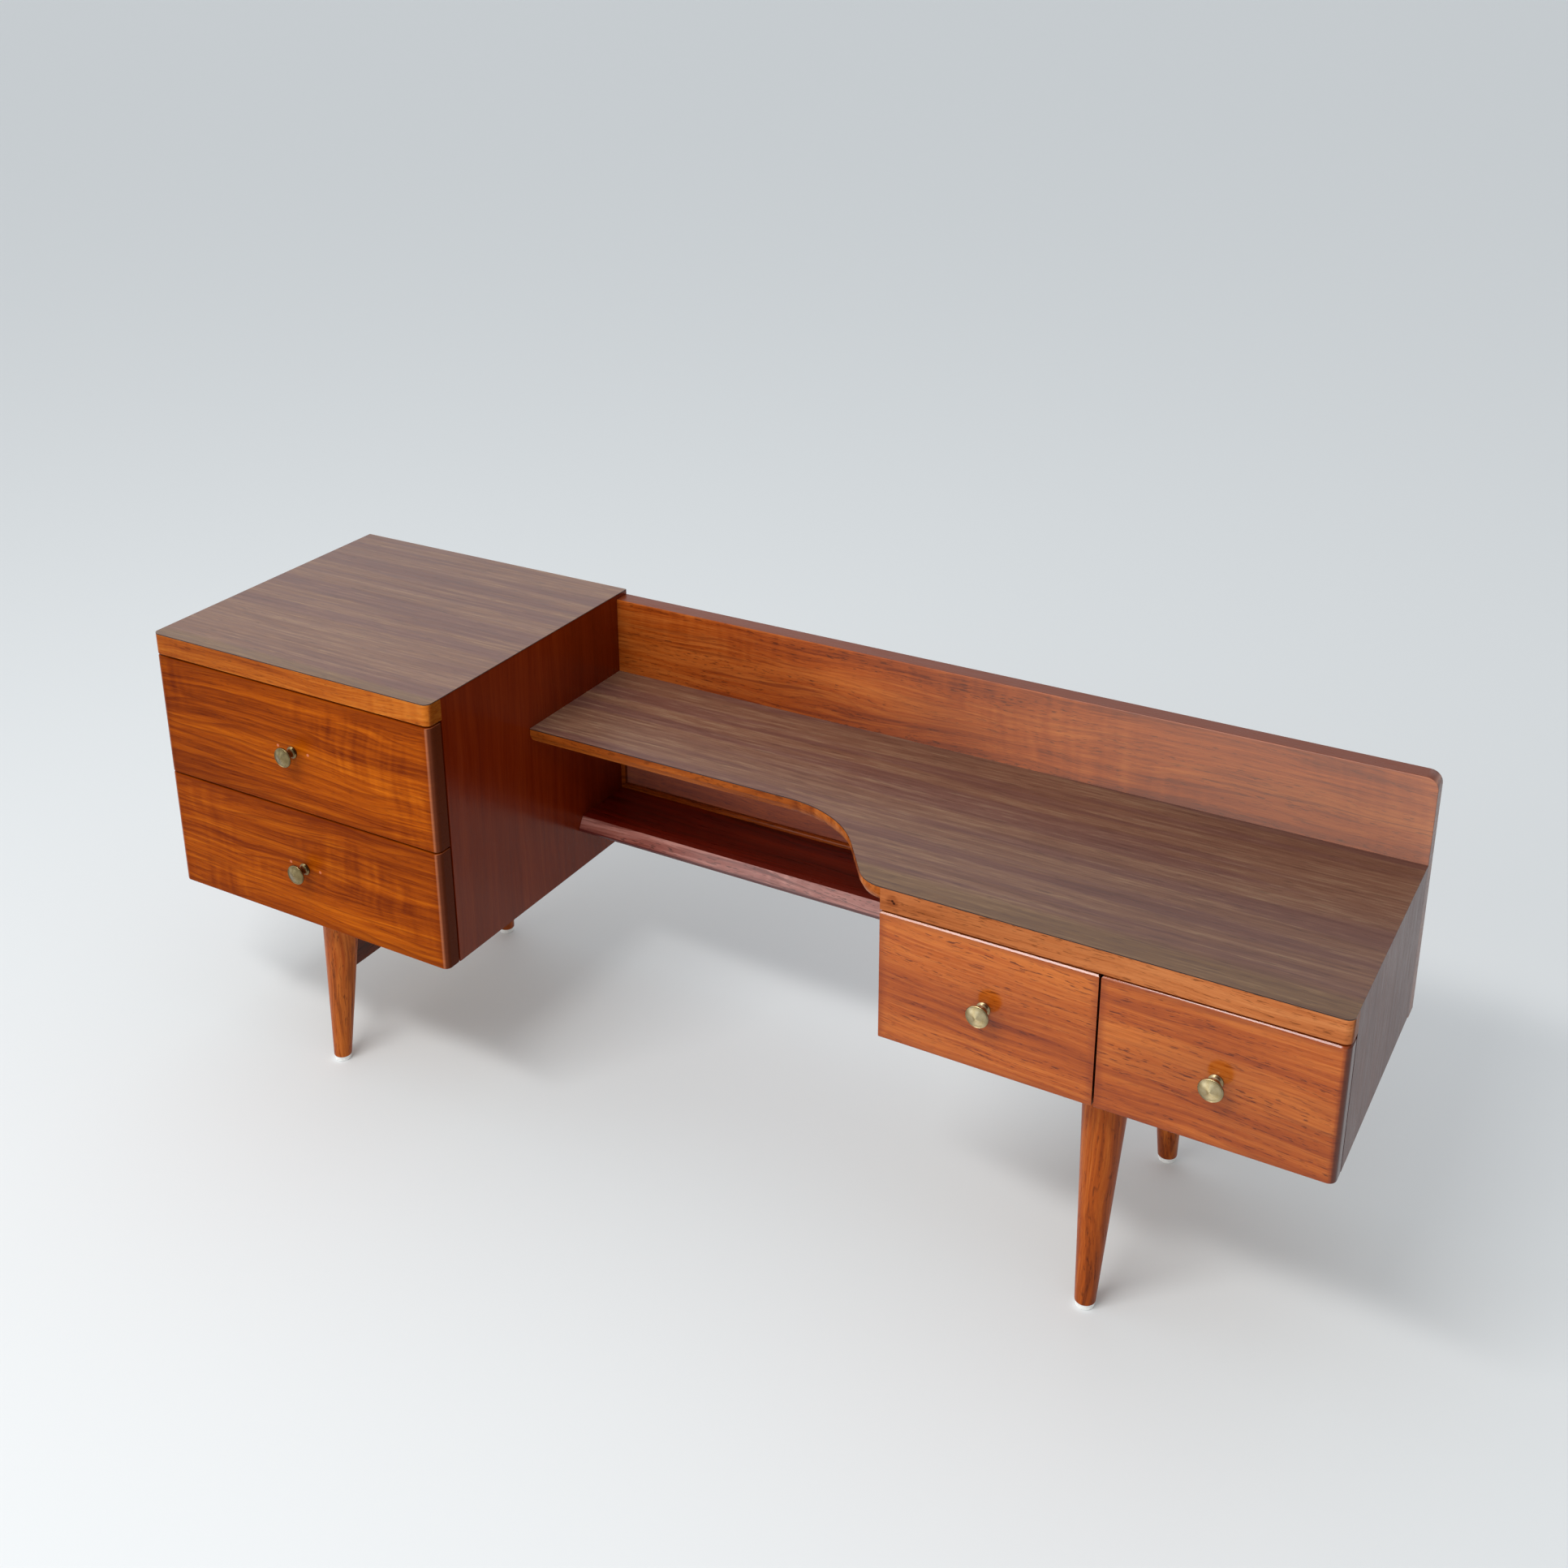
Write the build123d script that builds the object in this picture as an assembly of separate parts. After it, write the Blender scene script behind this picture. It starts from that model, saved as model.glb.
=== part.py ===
"""Low dressing table: a two-drawer pedestal, a desk top with an S-shaped front and a two-drawer unit.

It is drawn with x from the pedestal's left face, y from the pedestal's drawer fronts towards the wall
and z from the floor, in millimetres.  save() then moves the origin to the floor, under the middle.
"""
from build123d import *
import math
import os

# ---- overall sizes ---------------------------------------------------------------------------
LENGTH = 1520.0
DEPTH = 420.0                # drawer fronts of the pedestal to the back of the backboard
HEIGHT = 593.0               # top of the pedestal
PEDESTAL_WIDTH = 455.0
PEDESTAL_BASE = HEIGHT - 364.0
DESK_HEIGHT = HEIGHT - 112.0
UNIT_LEFT = 1018.0           # left face of the right-hand drawer unit
UNIT_FRONT = 66.0            # its drawer fronts stand back from the pedestal's
UNIT_BASE = HEIGHT - 304.0

# ---- boards ----------------------------------------------------------------------------------
SIDE = 18.0                  # side panels and carcass boards
UNIT_BOTTOM_BOARD = 12.0
LAMINATE = 1.2
RAIL_DEPTH = 25.0            # front rails, front to back
RAIL_DROP = 29.0             # front rails, top to bottom, with the laminate
CORNER = 9.0                 # rounded front corners seen from above
SOFTEN = 1.2                 # broken edges of solid wood
BACK_PANEL = 4.0
BACKBOARD = 23.0
BACKBOARD_TOP = HEIGHT - 7.0
BACKBOARD_CORNER = 14.0
BACKBOARD_FACE = DEPTH - BACKBOARD

# ---- desk front: straight, a wide hollow curve, a short straight, a tight round curve -----------
DESK_NARROW_FRONT = 192.0
CURVE_ANGLE = 54.0
HOLLOW_RADIUS = 138.0
ROUND_RADIUS = 41.0
DESK_BOARD = 16.8            # under the laminate
LIPPING = 10.0
LIPPING_UPRIGHT = 8.0        # upright part of the lipping, above its bevel
LIPPING_BEVEL = 4.5          # how far the bevel goes under

# ---- open shelf --------------------------------------------------------------------------------
SHELF_FLOOR = HEIGHT - 288.0
SHELF_BOARD = 20.0
SHELF_LIP_TOP = 296.0        # y of the lip's upper edge
SHELF_LIP_NOSE = 286.0       # y of its lowest, foremost edge
SHELF_LIP_DEPTH = 20.0
SHELF_NOSE_HEIGHT = 4.0
BEAD = 6.0

# ---- drawers -----------------------------------------------------------------------------------
FRONT = 22.0                 # thickness of a drawer front
FRONT_GAP = 2.5
TOP_BEVEL = 1.6              # along the top of the right-hand drawer fronts
BOX_BOARD = 12.0
BOX_CLEARANCE = 5.0          # drawer box to carcass, each side
BOX_LIFT = 24.0              # bottom of the drawer box above the bottom of its front
HOUSING = 6.0                # drawer sides let into the back of the front
PLY = 4.0
PLY_GROOVE = 5.0
PLY_LIFT = 8.0
BACK_DROP = 5.0              # drawer back below the drawer sides
PEDESTAL_BOX_HEIGHT = 120.0
PEDESTAL_BOX_DEPTH = 370.0
UNIT_BOX_HEIGHT = 110.0
UNIT_BOX_DEPTH = 285.0

# ---- runners -----------------------------------------------------------------------------------
RUNNER_WIDTH = 11.0
RUNNER_HEIGHT = 16.0
RUNNER_PLAY = 0.5            # above and below the runner in its groove
GROOVE_DEPTH = 7.0
RUNNER_SETBACK = 8.0         # runner's front end behind the drawer front
SCREW_LENGTH = 26.0
SCREW_RADIUS = 2.0
SCREW_HEAD_RADIUS = 3.8
SCREW_HEAD_DEPTH = 2.4
SCREW_FROM_END = 45.0
SCREW_STAGGER = 12.0         # keeps screws from either face of the divider apart

# ---- knobs -------------------------------------------------------------------------------------
KNOB_REACH = 22.0
KNOB_DROP = 1.5              # below the middle of its drawer front
KNOB_RADIUS = 13.5
KNOB_WAIST = 4.6
KNOB_FLANGE = 8.0
KNOB_SCREW_RADIUS = 2.0
KNOB_SCREW_GRIP = 9.0
KNOB_HOLE_RADIUS = 2.4

# ---- legs --------------------------------------------------------------------------------------
GLIDE_HEIGHT = 6.5
GLIDE_RADIUS = 10.8
GLIDE_ROUND = 1.0
FOOT_RADIUS = 11.8
FOOT_INSET = 32.0            # front foot's centre from the front of its cabinet
PEDESTAL_BACK_INSET = 24.0   # back foot's centre from the back
UNIT_BACK_INSET = 38.0
UNIT_LEG_SHIFT = 4.5         # legs stand this far left of the unit's middle
SPLAY = 0.105                # lean of a leg, per unit of height
PEDESTAL_LEG_TOP = 25.5      # radius
UNIT_LEG_TOP = 27.0
DOWEL_RADIUS = 5.0
DOWEL_IN_LEG = 25.0
DOWEL_IN_BOARD = 9.0
LEG_RAIL = 22.0              # thickness of the rail between a pair of legs
PEDESTAL_LEG_RAIL_DROP = 97.0
UNIT_LEG_RAIL_DROP = 60.0
SCRIBE = 0.3                 # gap where the rail is scribed to the round leg
TENON = 10.0
TENON_SHOULDER = 14.0
ARCH_EASE = 60.0             # radius where the rail's arch starts

ORIGIN = Location((-LENGTH / 2, -(DEPTH - KNOB_REACH) / 2, 0))


def save(name, shape):
    """Write one node, moved so that the origin is on the floor under the middle of the table."""
    solids = [solid.moved(ORIGIN) for solid in shape.solids()]
    export_step(Compound(solids), f"parts/{name}.step")


def block(x_low, x_high, y_low, y_high, z_low, z_high):
    """A rectangular board between two opposite corners."""
    middle = Pos((x_low + x_high) / 2, (y_low + y_high) / 2, (z_low + z_high) / 2)
    return middle * Box(x_high - x_low, y_high - y_low, z_high - z_low)


def front_corners(shape, x_values):
    """Upright front edges of a board at the given x values."""
    uprights = shape.edges().filter_by(Axis.Z)
    foremost = uprights.group_by(Axis.Y)[0]
    return [edge for edge in foremost if any(abs(edge.center().X - x) < 0.1 for x in x_values)]


def free_edges(shape, face):
    """Edges of a face, except the edge against the carcass."""
    back = shape.bounding_box().max.Y
    return [edge for edge in face.edges() if edge.center().Y < back - 0.1]


def soften_bottom(shape):
    return fillet(free_edges(shape, shape.faces().sort_by(Axis.Z)[0]), SOFTEN)


def soften_top(shape):
    return fillet(free_edges(shape, shape.faces().sort_by(Axis.Z)[-1]), SOFTEN)


def bevel_top(shape):
    return chamfer(free_edges(shape, shape.faces().sort_by(Axis.Z)[-1]), TOP_BEVEL)


def plate(outline, z_low, z_high):
    """A flat board of any outline."""
    return Pos(0, 0, z_low) * extrude(make_face(outline), z_high - z_low)


# ---- the desk's S-shaped front -------------------------------------------------------------------
def desk_front(inset):
    """The desk's front line from the pedestal to the drawer unit, moved back by inset."""
    turn = math.radians(CURVE_ANGLE)
    sine = math.sin(turn)
    cosine = math.cos(turn)
    drop = DESK_NARROW_FRONT - UNIT_FRONT - (HOLLOW_RADIUS + ROUND_RADIUS) * (1 - cosine)
    curve_start = UNIT_LEFT - (HOLLOW_RADIUS + ROUND_RADIUS) * sine - drop / math.tan(turn)
    hollow = Vector(curve_start, DESK_NARROW_FRONT - HOLLOW_RADIUS)
    round_centre = Vector(UNIT_LEFT, UNIT_FRONT + ROUND_RADIUS)
    hollow_radius = HOLLOW_RADIUS + inset
    round_radius = ROUND_RADIUS - inset
    half_sine = math.sin(turn / 2)
    half_cosine = math.cos(turn / 2)
    start = Vector(PEDESTAL_WIDTH, DESK_NARROW_FRONT + inset)
    hollow_start = hollow + Vector(0, hollow_radius)
    hollow_middle = hollow + Vector(hollow_radius * half_sine, hollow_radius * half_cosine)
    hollow_end = hollow + Vector(hollow_radius * sine, hollow_radius * cosine)
    round_start = round_centre - Vector(round_radius * sine, round_radius * cosine)
    round_middle = round_centre - Vector(round_radius * half_sine, round_radius * half_cosine)
    round_end = round_centre - Vector(0, round_radius)
    return [
        Line(start, hollow_start),
        ThreePointArc(hollow_start, hollow_middle, hollow_end),
        Line(hollow_end, round_start),
        ThreePointArc(round_start, round_middle, round_end),
    ]


def desk_laminate():
    front = desk_front(0)
    corner = (LENGTH - CORNER, UNIT_FRONT + CORNER)
    diagonal = CORNER * math.sqrt(0.5)
    outline = front + [
        Line(front[-1] @ 1, (LENGTH - CORNER, UNIT_FRONT)),
        ThreePointArc(
            (LENGTH - CORNER, UNIT_FRONT),
            (corner[0] + diagonal, corner[1] - diagonal),
            (LENGTH, UNIT_FRONT + CORNER),
        ),
        Polyline(
            (LENGTH, UNIT_FRONT + CORNER),
            (LENGTH, BACKBOARD_FACE),
            (PEDESTAL_WIDTH, BACKBOARD_FACE),
            front[0] @ 0,
        ),
    ]
    return plate(outline, DESK_HEIGHT - LAMINATE, DESK_HEIGHT)


def desk_board():
    front = desk_front(LIPPING)
    rail_back = UNIT_FRONT + RAIL_DEPTH
    outline = front + [
        Polyline(
            front[-1] @ 1,
            (UNIT_LEFT, rail_back),
            (LENGTH - SIDE, rail_back),
            (LENGTH - SIDE, BACKBOARD_FACE),
            (PEDESTAL_WIDTH, BACKBOARD_FACE),
            front[0] @ 0,
        ),
    ]
    top = DESK_HEIGHT - LAMINATE
    return plate(outline, top - DESK_BOARD, top)


def desk_lipping():
    """Solid edge that follows the S, upright above and bevelled back below."""
    path = Wire(desk_front(0))
    top = DESK_HEIGHT - LAMINATE
    section = Polyline(
        (0, top),
        (0, top - LIPPING_UPRIGHT),
        (LIPPING_BEVEL, top - DESK_BOARD),
        (LIPPING, top - DESK_BOARD),
        (LIPPING, top),
        close=True,
    )
    start = Plane(
        origin=(PEDESTAL_WIDTH, DESK_NARROW_FRONT, 0), x_dir=(0, 1, 0), z_dir=(1, 0, 0)
    )
    return sweep(start * make_face(section), path=path)


def make_desk():
    save("desk_top_laminate", desk_laminate())
    save("desk_top_board", desk_board() - screw_holes())
    save("desk_edge_lipping", desk_lipping())
    rail = block(
        UNIT_LEFT, LENGTH, UNIT_FRONT, UNIT_FRONT + RAIL_DEPTH,
        DESK_HEIGHT - RAIL_DROP, DESK_HEIGHT - LAMINATE,
    )
    rail = fillet(front_corners(rail, [LENGTH]), CORNER)
    save("drawer_unit_front_rail", soften_bottom(rail))
    board = block(
        PEDESTAL_WIDTH, LENGTH, BACKBOARD_FACE, DEPTH, SHELF_FLOOR - SHELF_BOARD, BACKBOARD_TOP
    )
    top_corner = board.edges().filter_by(Axis.Y).group_by(Axis.Z)[-1].sort_by(Axis.X)[-1]
    board = fillet(top_corner, BACKBOARD_CORNER)
    rims = board.faces().filter_by(Axis.Y).sort_by(Axis.Y)[0].edges()
    soft = [edge for edge in rims if edge.center().Z > DESK_HEIGHT and edge.center().X > LENGTH / 2]
    save("backboard", fillet(soft, SOFTEN))


# ---- pedestal ------------------------------------------------------------------------------------
def make_pedestal():
    under_laminate = HEIGHT - LAMINATE
    rail_back = RAIL_DEPTH
    inner_left = SIDE
    inner_right = PEDESTAL_WIDTH - SIDE
    for name, x_low in (("left", 0.0), ("right", inner_right)):
        panel = block(x_low, x_low + SIDE, rail_back, DEPTH, PEDESTAL_BASE, under_laminate)
        save(f"pedestal_{name}_side", panel - screw_holes())
    back_face = DEPTH - BACK_PANEL
    bottom = block(
        inner_left, inner_right, rail_back, back_face, PEDESTAL_BASE, PEDESTAL_BASE + SIDE
    )
    save("pedestal_bottom", bottom - dowels(0.05))
    top = block(
        inner_left, inner_right, rail_back, back_face, under_laminate - SIDE, under_laminate
    )
    save("pedestal_top_board", top)
    back = block(inner_left, inner_right, back_face, DEPTH, PEDESTAL_BASE, under_laminate)
    save("pedestal_back", back)
    rail = block(0, PEDESTAL_WIDTH, 0, rail_back, HEIGHT - RAIL_DROP, under_laminate)
    rail = fillet(front_corners(rail, [0, PEDESTAL_WIDTH]), CORNER)
    save("pedestal_front_rail", soften_bottom(rail))
    laminate = block(0, PEDESTAL_WIDTH, 0, DEPTH, under_laminate, HEIGHT)
    save("pedestal_top_laminate", fillet(front_corners(laminate, [0, PEDESTAL_WIDTH]), CORNER))


# ---- open shelf and drawer unit --------------------------------------------------------------------
def make_shelf():
    base = SHELF_FLOOR - SHELF_BOARD
    lip_back = SHELF_LIP_NOSE + SHELF_LIP_DEPTH
    panel = block(PEDESTAL_WIDTH, UNIT_LEFT, lip_back, BACKBOARD_FACE, base, SHELF_FLOOR)
    save("shelf_panel", panel - screw_holes())
    section = Polyline(
        (lip_back, SHELF_FLOOR),
        (SHELF_LIP_TOP, SHELF_FLOOR),
        (SHELF_LIP_NOSE, base + SHELF_NOSE_HEIGHT),
        (SHELF_LIP_NOSE + 2, base),
        (lip_back, base),
        close=True,
    )
    end = Plane(origin=(PEDESTAL_WIDTH, 0, 0), x_dir=(0, 1, 0), z_dir=(1, 0, 0))
    save("shelf_front_lip", extrude(end * make_face(section), UNIT_LEFT - PEDESTAL_WIDTH))
    under_desk = DESK_HEIGHT - LAMINATE - DESK_BOARD
    level = block(
        PEDESTAL_WIDTH, UNIT_LEFT, BACKBOARD_FACE - BEAD, BACKBOARD_FACE,
        SHELF_FLOOR, SHELF_FLOOR + BEAD,
    )
    upright = block(
        PEDESTAL_WIDTH, PEDESTAL_WIDTH + BEAD, BACKBOARD_FACE - BEAD, BACKBOARD_FACE,
        SHELF_FLOOR + BEAD, under_desk,
    )
    rounded = []
    for bead, axis in ((level, Axis.X), (upright, Axis.Z)):
        ridge = bead.edges().filter_by(axis).group_by(Axis.Y)[0]
        ridge = ridge.sort_by(Axis.Z)[-1] if axis == Axis.X else ridge.sort_by(Axis.X)[-1]
        rounded.append(fillet(ridge, BEAD * 0.6))
    save("shelf_back_beads", Compound(children=rounded))


def make_drawer_unit():
    panel_front = UNIT_FRONT + RAIL_DEPTH
    under_desk = DESK_HEIGHT - LAMINATE - DESK_BOARD
    inner_left = UNIT_LEFT + SIDE
    inner_right = LENGTH - SIDE
    inner_side = block(
        UNIT_LEFT, inner_left, panel_front, BACKBOARD_FACE, UNIT_BASE, under_desk
    )
    end_panel = block(
        inner_right, LENGTH, panel_front, BACKBOARD_FACE, UNIT_BASE, DESK_HEIGHT - LAMINATE
    )
    bottom = block(
        inner_left, inner_right, panel_front, BACKBOARD_FACE,
        UNIT_BASE, UNIT_BASE + UNIT_BOTTOM_BOARD,
    )
    middle = (UNIT_LEFT + LENGTH) / 2
    divider = block(
        middle - SIDE / 2, middle + SIDE / 2, panel_front, BACKBOARD_FACE,
        UNIT_BASE + UNIT_BOTTOM_BOARD, under_desk,
    )
    holes = screw_holes()
    save("drawer_unit_inner_side", inner_side - holes)
    save("drawer_unit_end_panel", end_panel - holes)
    save("drawer_unit_divider", divider - holes)
    save("drawer_unit_bottom", bottom - dowels(0.05))


# ---- drawers, runners and screws ---------------------------------------------------------------------
class Drawer:
    """One drawer's place: its front's outline, the opening behind it and the size of its box."""

    def __init__(self, name, front_x, front_z, front_y, opening_x, box_height, box_depth, corners):
        self.name = name
        self.left, self.right = front_x
        self.low, self.high = front_z
        self.face = front_y
        self.opening = opening_x
        self.box_left = opening_x[0] + BOX_CLEARANCE
        self.box_right = opening_x[1] - BOX_CLEARANCE
        self.box_low = self.low + BOX_LIFT
        self.box_high = self.box_low + box_height
        self.box_front = front_y + FRONT
        self.box_back = self.box_front + box_depth
        self.runner_level = (self.box_low + self.box_high) / 2
        self.corners = corners
        self.bevelled = front_y == UNIT_FRONT
        knob_level = (self.low + self.high) / 2 - KNOB_DROP
        self.knob_seat = Pos((self.left + self.right) / 2, self.face, knob_level)


def all_drawers():
    """The four drawers, with the x values of the front corners that are rounded."""
    rail_low = HEIGHT - RAIL_DROP
    split = HEIGHT - 200.0
    half_gap = FRONT_GAP / 2
    whole = (0.0, PEDESTAL_WIDTH)
    inside = (SIDE, PEDESTAL_WIDTH - SIDE)
    middle = (UNIT_LEFT + LENGTH) / 2
    unit_z = (UNIT_BASE, DESK_HEIGHT - RAIL_DROP - FRONT_GAP)
    left_inside = (UNIT_LEFT + SIDE, middle - SIDE / 2)
    right_inside = (middle + SIDE / 2, LENGTH - SIDE)
    pedestal_box = (PEDESTAL_BOX_HEIGHT, PEDESTAL_BOX_DEPTH)
    unit_box = (UNIT_BOX_HEIGHT, UNIT_BOX_DEPTH)
    upper_z = (split + half_gap, rail_low - FRONT_GAP)
    lower_z = (PEDESTAL_BASE, split - half_gap)
    return [
        Drawer("upper_drawer", whole, upper_z, 0.0, inside, *pedestal_box, whole),
        Drawer("lower_drawer", whole, lower_z, 0.0, inside, *pedestal_box, whole),
        Drawer("left_drawer", (UNIT_LEFT, middle - half_gap), unit_z, UNIT_FRONT, left_inside,
               *unit_box, ()),
        Drawer("right_drawer", (middle + half_gap, LENGTH), unit_z, UNIT_FRONT, right_inside,
               *unit_box, (LENGTH,)),
    ]


def drawer_front(drawer):
    front = block(
        drawer.left, drawer.right, drawer.face, drawer.box_front, drawer.low, drawer.high
    )
    if drawer.corners:
        front = fillet(front_corners(front, drawer.corners), CORNER)
    front = soften_bottom(front)
    front = bevel_top(front) if drawer.bevelled else soften_top(front)
    for side_left in (drawer.box_left, drawer.box_right - BOX_BOARD):
        front -= block(
            side_left, side_left + BOX_BOARD, drawer.box_front - HOUSING, drawer.box_front + 1,
            drawer.box_low, drawer.box_high,
        )
    front -= drawer_bottom(drawer)
    return front - drawer.knob_seat * Cylinder(KNOB_HOLE_RADIUS, 3 * FRONT, rotation=(90, 0, 0))


def drawer_bottom(drawer):
    low = drawer.box_low + PLY_LIFT
    return block(
        drawer.box_left + BOX_BOARD - PLY_GROOVE, drawer.box_right - BOX_BOARD + PLY_GROOVE,
        drawer.box_front - HOUSING, drawer.box_back, low, low + PLY,
    )


def drawer_side(drawer, side_left, groove_left):
    side = block(
        side_left, side_left + BOX_BOARD, drawer.box_front - HOUSING, drawer.box_back,
        drawer.box_low, drawer.box_high,
    )
    reach = RUNNER_HEIGHT / 2 + RUNNER_PLAY
    groove = block(
        groove_left, groove_left + GROOVE_DEPTH, drawer.box_front, drawer.box_back + 1,
        drawer.runner_level - reach, drawer.runner_level + reach,
    )
    return side - groove - drawer_bottom(drawer)


def drawer_back(drawer):
    return block(
        drawer.box_left + BOX_BOARD, drawer.box_right - BOX_BOARD,
        drawer.box_back - BOX_BOARD, drawer.box_back,
        drawer.box_low + PLY_LIFT + PLY, drawer.box_high - BACK_DROP,
    )


def knob():
    """Turned brass knob on the y axis, with its seat at y = 0 and its face towards -y."""
    rim_back = -0.73 * KNOB_REACH
    rim_front = -0.85 * KNOB_REACH
    rim_bead = 1.6
    outline = [
        Polyline((0, 0), (KNOB_FLANGE, 0), (KNOB_FLANGE, -1.4), (KNOB_WAIST + 1.2, -2.6)),
        ThreePointArc((KNOB_WAIST + 1.2, -2.6), (KNOB_WAIST, -6.5), (KNOB_WAIST + 1.6, -11)),
        ThreePointArc(
            (KNOB_WAIST + 1.6, -11), (KNOB_RADIUS - 4.4, -14.6), (KNOB_RADIUS - 0.4, rim_back)
        ),
        ThreePointArc(
            (KNOB_RADIUS - 0.4, rim_back),
            (KNOB_RADIUS, (rim_back + rim_front) / 2),
            (KNOB_RADIUS - rim_bead / 2, rim_front),
        ),
        Polyline(
            (KNOB_RADIUS - rim_bead / 2, rim_front),
            (KNOB_RADIUS - rim_bead, rim_front + 0.4),
            (0, -KNOB_REACH),
            (0, 0),
        ),
    ]
    body = revolve(make_face(outline), Axis.Y)
    hole = Cylinder(KNOB_SCREW_RADIUS, 2 * KNOB_SCREW_GRIP, rotation=(90, 0, 0))
    return body - hole


def knob_screw():
    """Screw from inside the drawer into the knob, on the y axis, with the knob's seat at y = 0."""
    head = Pos(0, FRONT + 1.3, 0) * Cylinder(4.0, 2.6, rotation=(90, 0, 0))
    slot = block(-5, 5, FRONT + 1.6, FRONT + 3, -0.5, 0.5)
    length = FRONT + KNOB_SCREW_GRIP - 0.5
    shank = Pos(0, FRONT - length / 2, 0) * Cylinder(KNOB_SCREW_RADIUS - 0.05, length,
                                                     rotation=(90, 0, 0))
    return head - slot + shank


def make_drawer(drawer):
    right_left = drawer.box_right - BOX_BOARD
    groove_right = drawer.box_right - GROOVE_DEPTH
    save(f"{drawer.name}_front", drawer_front(drawer))
    save(f"{drawer.name}_left_side", drawer_side(drawer, drawer.box_left, drawer.box_left))
    save(f"{drawer.name}_right_side", drawer_side(drawer, right_left, groove_right))
    save(f"{drawer.name}_back", drawer_back(drawer))
    save(f"{drawer.name}_bottom", drawer_bottom(drawer))
    save(f"{drawer.name}_knob", drawer.knob_seat * knob())
    save(f"{drawer.name}_knob_screw", drawer.knob_seat * knob_screw())


def runner_span(drawer):
    """Front and back end of a drawer's runners."""
    return drawer.box_front + RUNNER_SETBACK, drawer.box_back


def screw_places():
    """Every screw: the point of its head's face, and +1 or -1 for its way along x."""
    places = []
    for drawer in all_drawers():
        front, back = runner_span(drawer)
        left_face = drawer.opening[0] + RUNNER_WIDTH
        right_face = drawer.opening[1] - RUNNER_WIDTH
        for y in (front + SCREW_FROM_END, back - SCREW_FROM_END):
            places.append((left_face, y, drawer.runner_level, -1))
            places.append((right_face, y + SCREW_STAGGER, drawer.runner_level, 1))
    desk_middle = DESK_HEIGHT - LAMINATE - DESK_BOARD / 2
    shelf_middle = SHELF_FLOOR - SHELF_BOARD / 2
    for y, z in ((240, desk_middle), (370, desk_middle), (370, shelf_middle)):
        places.append((PEDESTAL_WIDTH - SIDE, y, z, 1))
    return places


def wood_screw(place, clearance=0.0):
    """Countersunk screw along x, with its head's face at the given place."""
    x, y, z, way = place
    shank_length = SCREW_LENGTH - SCREW_HEAD_DEPTH
    head = Pos(0, 0, -SCREW_HEAD_DEPTH / 2) * Cone(
        SCREW_RADIUS + clearance, SCREW_HEAD_RADIUS + clearance, SCREW_HEAD_DEPTH
    )
    shank = Pos(0, 0, -SCREW_HEAD_DEPTH - shank_length / 2) * Cylinder(
        SCREW_RADIUS + clearance, shank_length
    )
    return Pos(x, y, z) * Rot(0, -90 * way, 0) * (head + shank)


def screw_holes():
    return [wood_screw(place) for place in screw_places()]


def make_runners():
    holes = screw_holes()
    half = RUNNER_HEIGHT / 2
    for drawer in all_drawers():
        front, back = runner_span(drawer)
        strips = []
        for x_low in (drawer.opening[0], drawer.opening[1] - RUNNER_WIDTH):
            strip = block(
                x_low, x_low + RUNNER_WIDTH, front, back,
                drawer.runner_level - half, drawer.runner_level + half,
            )
            strips.append(strip - holes)
        save(f"{drawer.name}_runners", Compound(children=strips))
    save("wood_screws", Compound(children=[wood_screw(place) for place in screw_places()]))


# ---- legs ----------------------------------------------------------------------------------------------
class LegPair:
    """A front and a back leg under one cabinet, joined by a rail."""

    def __init__(self, name, x, front, back_inset, base, top_radius, rail_drop, arch_rise):
        self.name = name
        self.x = x
        self.base = base
        self.top_radius = top_radius
        self.rail_drop = rail_drop
        self.arch_rise = arch_rise
        lean = SPLAY * base
        self.feet = {"front": front + FOOT_INSET, "back": DEPTH - back_inset}
        self.tops = {"front": self.feet["front"] + lean, "back": self.feet["back"] - lean}


def leg_pairs():
    unit_legs = (UNIT_LEFT + LENGTH) / 2 - UNIT_LEG_SHIFT
    return [
        LegPair("pedestal", PEDESTAL_WIDTH / 2, 0.0, PEDESTAL_BACK_INSET, PEDESTAL_BASE,
                PEDESTAL_LEG_TOP, PEDESTAL_LEG_RAIL_DROP, 26.0),
        LegPair("drawer_unit", unit_legs, UNIT_FRONT, UNIT_BACK_INSET, UNIT_BASE,
                UNIT_LEG_TOP, UNIT_LEG_RAIL_DROP, 16.0),
    ]


def leg_body(pair, end, extra=0.0):
    """Round leg that tapers and leans towards its foot, cut level at both ends."""
    foot = Pos(pair.x, pair.feet[end], GLIDE_HEIGHT) * Circle(FOOT_RADIUS + extra)
    top = Pos(pair.x, pair.tops[end], pair.base) * Circle(pair.top_radius + extra)
    return loft([foot, top])


def dowels(extra=0.0):
    """The dowels on top of the legs."""
    length = DOWEL_IN_LEG + DOWEL_IN_BOARD
    found = []
    for pair in leg_pairs():
        level = pair.base + DOWEL_IN_BOARD - length / 2
        for end in ("front", "back"):
            place = Pos(pair.x, pair.tops[end], level)
            found.append(place * Cylinder(DOWEL_RADIUS + extra, length + 2 * extra))
    return found


def tenons(pair):
    """The rail's tenons, let into the legs."""
    low = pair.base - pair.rail_drop + TENON_SHOULDER
    high = pair.base - TENON_SHOULDER
    left = pair.x - TENON / 2
    front = pair.tops["front"]
    back = pair.tops["back"]
    depth = pair.top_radius
    return [
        block(left, left + TENON, front + 8, front + depth + 4, low, high),
        block(left, left + TENON, back - depth - 4, back - 8, low, high),
    ]


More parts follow.
